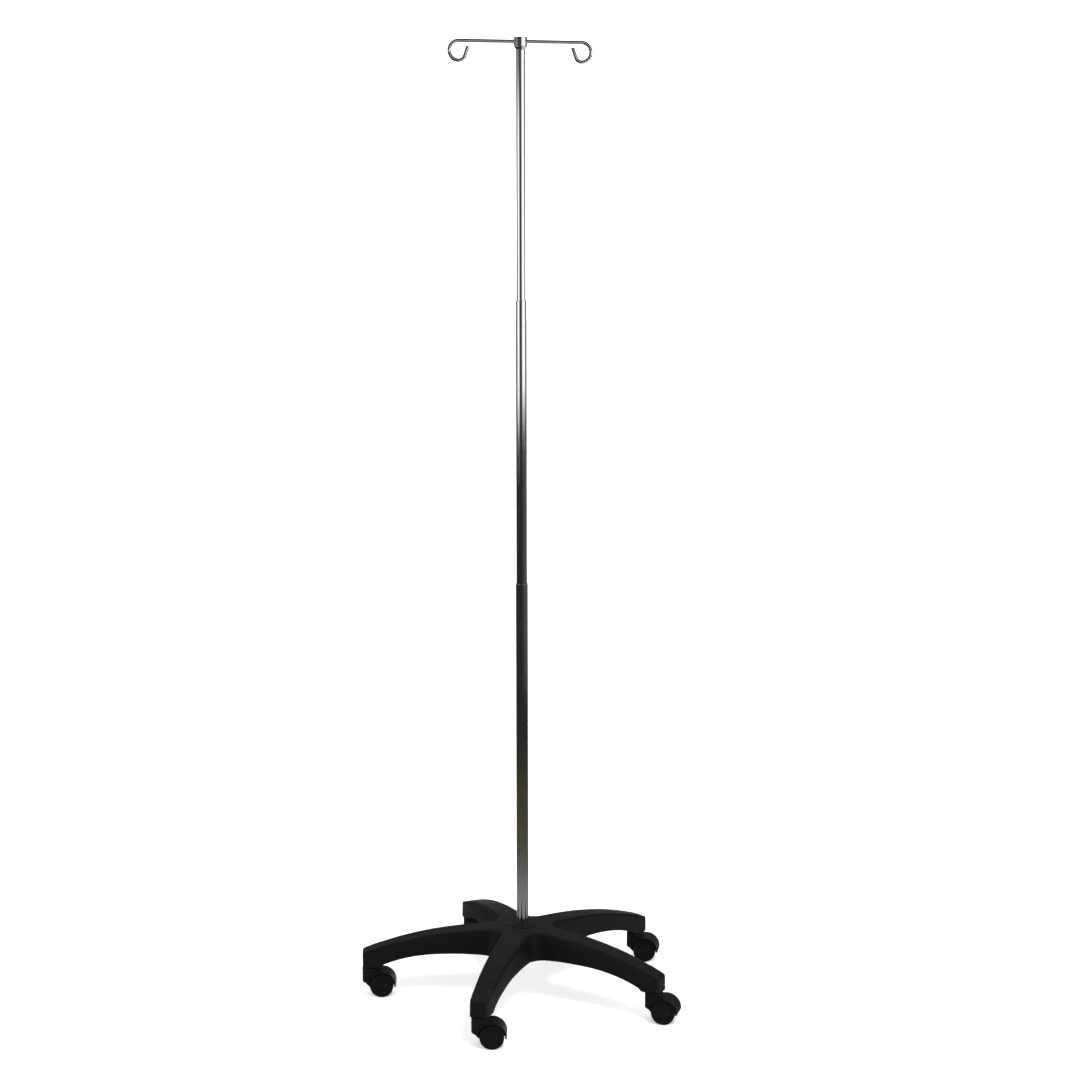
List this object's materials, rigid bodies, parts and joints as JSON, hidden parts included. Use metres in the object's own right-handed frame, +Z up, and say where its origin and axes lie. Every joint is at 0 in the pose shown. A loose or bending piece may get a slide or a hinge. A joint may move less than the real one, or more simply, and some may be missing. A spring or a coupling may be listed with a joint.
{
  "type": "mobile infusion pole",
  "caption": "Wheeled pole for hanging infusion bags: telescoping chromed tubes with hidden twist locks and a hook rod, on a splayed nylon base with swivel casters.",
  "frame": {"origin": "on the pole's axis at floor level, where the ten wheels stand", "axes": "+Z up along the pole; +X to the right and -Y towards the viewer of the picture; the left leg points 2.9 degrees towards the viewer from -X, and the hook's right arm points 13 degrees away from the viewer"},
  "size_m": [0.6671, 0.6644, 1.993],
  "materials": {
    "black_nylon": "satin moulded glass-filled nylon, fine texture",
    "wheel_nylon": "smooth hard nylon",
    "chrome": "bright chrome plate on steel",
    "zinc_steel": "bright zinc plate",
    "natural_acetal": "unpainted satin moulding"
  },
  "bodies": {
    "base": {"base_star": "black_nylon", "pole_bushing": "black_nylon", "foot_plug": "zinc_steel", "clamp_washer": "zinc_steel", "spring_washer": "zinc_steel", "base_bolt": "zinc_steel", "lower_tube": "chrome", "leg_socket_1": "zinc_steel", "caster_stem_1": "zinc_steel", "leg_socket_2": "zinc_steel", "caster_stem_2": "zinc_steel", "leg_socket_3": "zinc_steel", "caster_stem_3": "zinc_steel", "leg_socket_4": "zinc_steel", "caster_stem_4": "zinc_steel", "leg_socket_5": "zinc_steel", "caster_stem_5": "zinc_steel"},
    "mid_sleeve": {"mid_lock_sleeve": "natural_acetal"},
    "mid_section": {"mid_tube": "chrome", "mid_lock_plug": "natural_acetal", "mid_lock_stud": "zinc_steel"},
    "mid_cone": {"mid_lock_cone": "zinc_steel"},
    "upper_sleeve": {"upper_lock_sleeve": "natural_acetal"},
    "upper_section": {"upper_tube": "chrome", "upper_lock_plug": "natural_acetal", "upper_lock_stud": "zinc_steel", "hook_cap": "chrome", "hook_bar": "chrome"},
    "upper_cone": {"upper_lock_cone": "zinc_steel"},
    "caster_1": {"caster_housing_1": "black_nylon", "caster_axle_1": "zinc_steel"},
    "wheel_1_left": {"caster_wheel_1_left": "wheel_nylon"},
    "wheel_1_right": {"caster_wheel_1_right": "wheel_nylon"},
    "caster_2": {"caster_housing_2": "black_nylon", "caster_axle_2": "zinc_steel"},
    "wheel_2_left": {"caster_wheel_2_left": "wheel_nylon"},
    "wheel_2_right": {"caster_wheel_2_right": "wheel_nylon"},
    "caster_3": {"caster_housing_3": "black_nylon", "caster_axle_3": "zinc_steel"},
    "wheel_3_left": {"caster_wheel_3_left": "wheel_nylon"},
    "wheel_3_right": {"caster_wheel_3_right": "wheel_nylon"},
    "caster_4": {"caster_housing_4": "black_nylon", "caster_axle_4": "zinc_steel"},
    "wheel_4_left": {"caster_wheel_4_left": "wheel_nylon"},
    "wheel_4_right": {"caster_wheel_4_right": "wheel_nylon"},
    "caster_5": {"caster_housing_5": "black_nylon", "caster_axle_5": "zinc_steel"},
    "wheel_5_left": {"caster_wheel_5_left": "wheel_nylon"},
    "wheel_5_right": {"caster_wheel_5_right": "wheel_nylon"}
  },
  "joints": [
    {"name": "mid_height", "type": "slide", "parent": "base", "child": "mid_sleeve", "axis": [0, 0, 1], "range_m": [-0.54, 0.05]},
    {"name": "mid_twist", "type": "hinge", "parent": "mid_sleeve", "child": "mid_section", "pos_m": [0, 0, 0.732], "axis": [0, 0, 1], "range_deg": [0, 360]},
    {"name": "mid_cone_draw", "type": "slide", "parent": "mid_sleeve", "child": "mid_cone", "axis": [0, 0, 1], "range_m": [-0.00125, 0]},
    {"name": "upper_height", "type": "slide", "parent": "mid_section", "child": "upper_sleeve", "axis": [0, 0, 1], "range_m": [-0.49, 0.05]},
    {"name": "upper_twist", "type": "hinge", "parent": "upper_sleeve", "child": "upper_section", "pos_m": [0, 0, 1.337], "axis": [0, 0, 1], "range_deg": [0, 360]},
    {"name": "upper_cone_draw", "type": "slide", "parent": "upper_sleeve", "child": "upper_cone", "axis": [0, 0, 1], "range_m": [-0.001, 0]},
    {"name": "caster_1_swivel", "type": "hinge", "parent": "base", "child": "caster_1", "pos_m": [-0.32159, -0.01629, 0.0622], "axis": [0, 0, 1], "continuous": true},
    {"name": "wheel_1_left_spin", "type": "hinge", "parent": "caster_1", "child": "wheel_1_left", "pos_m": [-0.29909, -0.0159, 0.025], "axis": [-0.0175, 0.9998, 0], "continuous": true},
    {"name": "wheel_1_right_spin", "type": "hinge", "parent": "caster_1", "child": "wheel_1_right", "pos_m": [-0.29909, -0.0159, 0.025], "axis": [-0.0175, 0.9998, 0], "continuous": true},
    {"name": "caster_2_swivel", "type": "hinge", "parent": "base", "child": "caster_2", "pos_m": [-0.08388, -0.31088, 0.0622], "axis": [0, 0, 1], "continuous": true},
    {"name": "wheel_2_left_spin", "type": "hinge", "parent": "caster_2", "child": "wheel_2_left", "pos_m": [-0.06139, -0.31128, 0.025], "axis": [0.0175, 0.9998, 0], "continuous": true},
    {"name": "wheel_2_right_spin", "type": "hinge", "parent": "caster_2", "child": "wheel_2_right", "pos_m": [-0.06139, -0.31128, 0.025], "axis": [0.0175, 0.9998, 0], "continuous": true},
    {"name": "caster_3_swivel", "type": "hinge", "parent": "base", "child": "caster_3", "pos_m": [0.26975, -0.17585, 0.0622], "axis": [0, 0, 1], "continuous": true},
    {"name": "wheel_3_left_spin", "type": "hinge", "parent": "caster_3", "child": "wheel_3_left", "pos_m": [0.29137, -0.18205, 0.025], "axis": [0.2756, 0.9613, 0], "continuous": true},
    {"name": "wheel_3_right_spin", "type": "hinge", "parent": "caster_3", "child": "wheel_3_right", "pos_m": [0.29137, -0.18205, 0.025], "axis": [0.2756, 0.9613, 0], "continuous": true},
    {"name": "caster_4_swivel", "type": "hinge", "parent": "base", "child": "caster_4", "pos_m": [0.25059, 0.2022, 0.0622], "axis": [0, 0, 1], "continuous": true},
    {"name": "wheel_4_left_spin", "type": "hinge", "parent": "caster_4", "child": "wheel_4_left", "pos_m": [0.27275, 0.1983, 0.025], "axis": [0.1736, 0.9848, 0], "continuous": true},
    {"name": "wheel_4_right_spin", "type": "hinge", "parent": "caster_4", "child": "wheel_4_right", "pos_m": [0.27275, 0.1983, 0.025], "axis": [0.1736, 0.9848, 0], "continuous": true},
    {"name": "caster_5_swivel", "type": "hinge", "parent": "base", "child": "caster_5", "pos_m": [-0.11487, 0.30081, 0.0622], "axis": [0, 0, 1], "continuous": true},
    {"name": "wheel_5_left_spin", "type": "hinge", "parent": "caster_5", "child": "wheel_5_left", "pos_m": [-0.09249, 0.30317, 0.025], "axis": [-0.1045, 0.9945, 0], "continuous": true},
    {"name": "wheel_5_right_spin", "type": "hinge", "parent": "caster_5", "child": "wheel_5_right", "pos_m": [-0.09249, 0.30317, 0.025], "axis": [-0.1045, 0.9945, 0], "continuous": true}
  ],
  "couplings": [
    {"joint": "mid_cone_draw", "follows": "mid_twist", "m_per_rad": -0.00019894},
    {"joint": "upper_cone_draw", "follows": "upper_twist", "m_per_rad": -0.00015915}
  ]
}
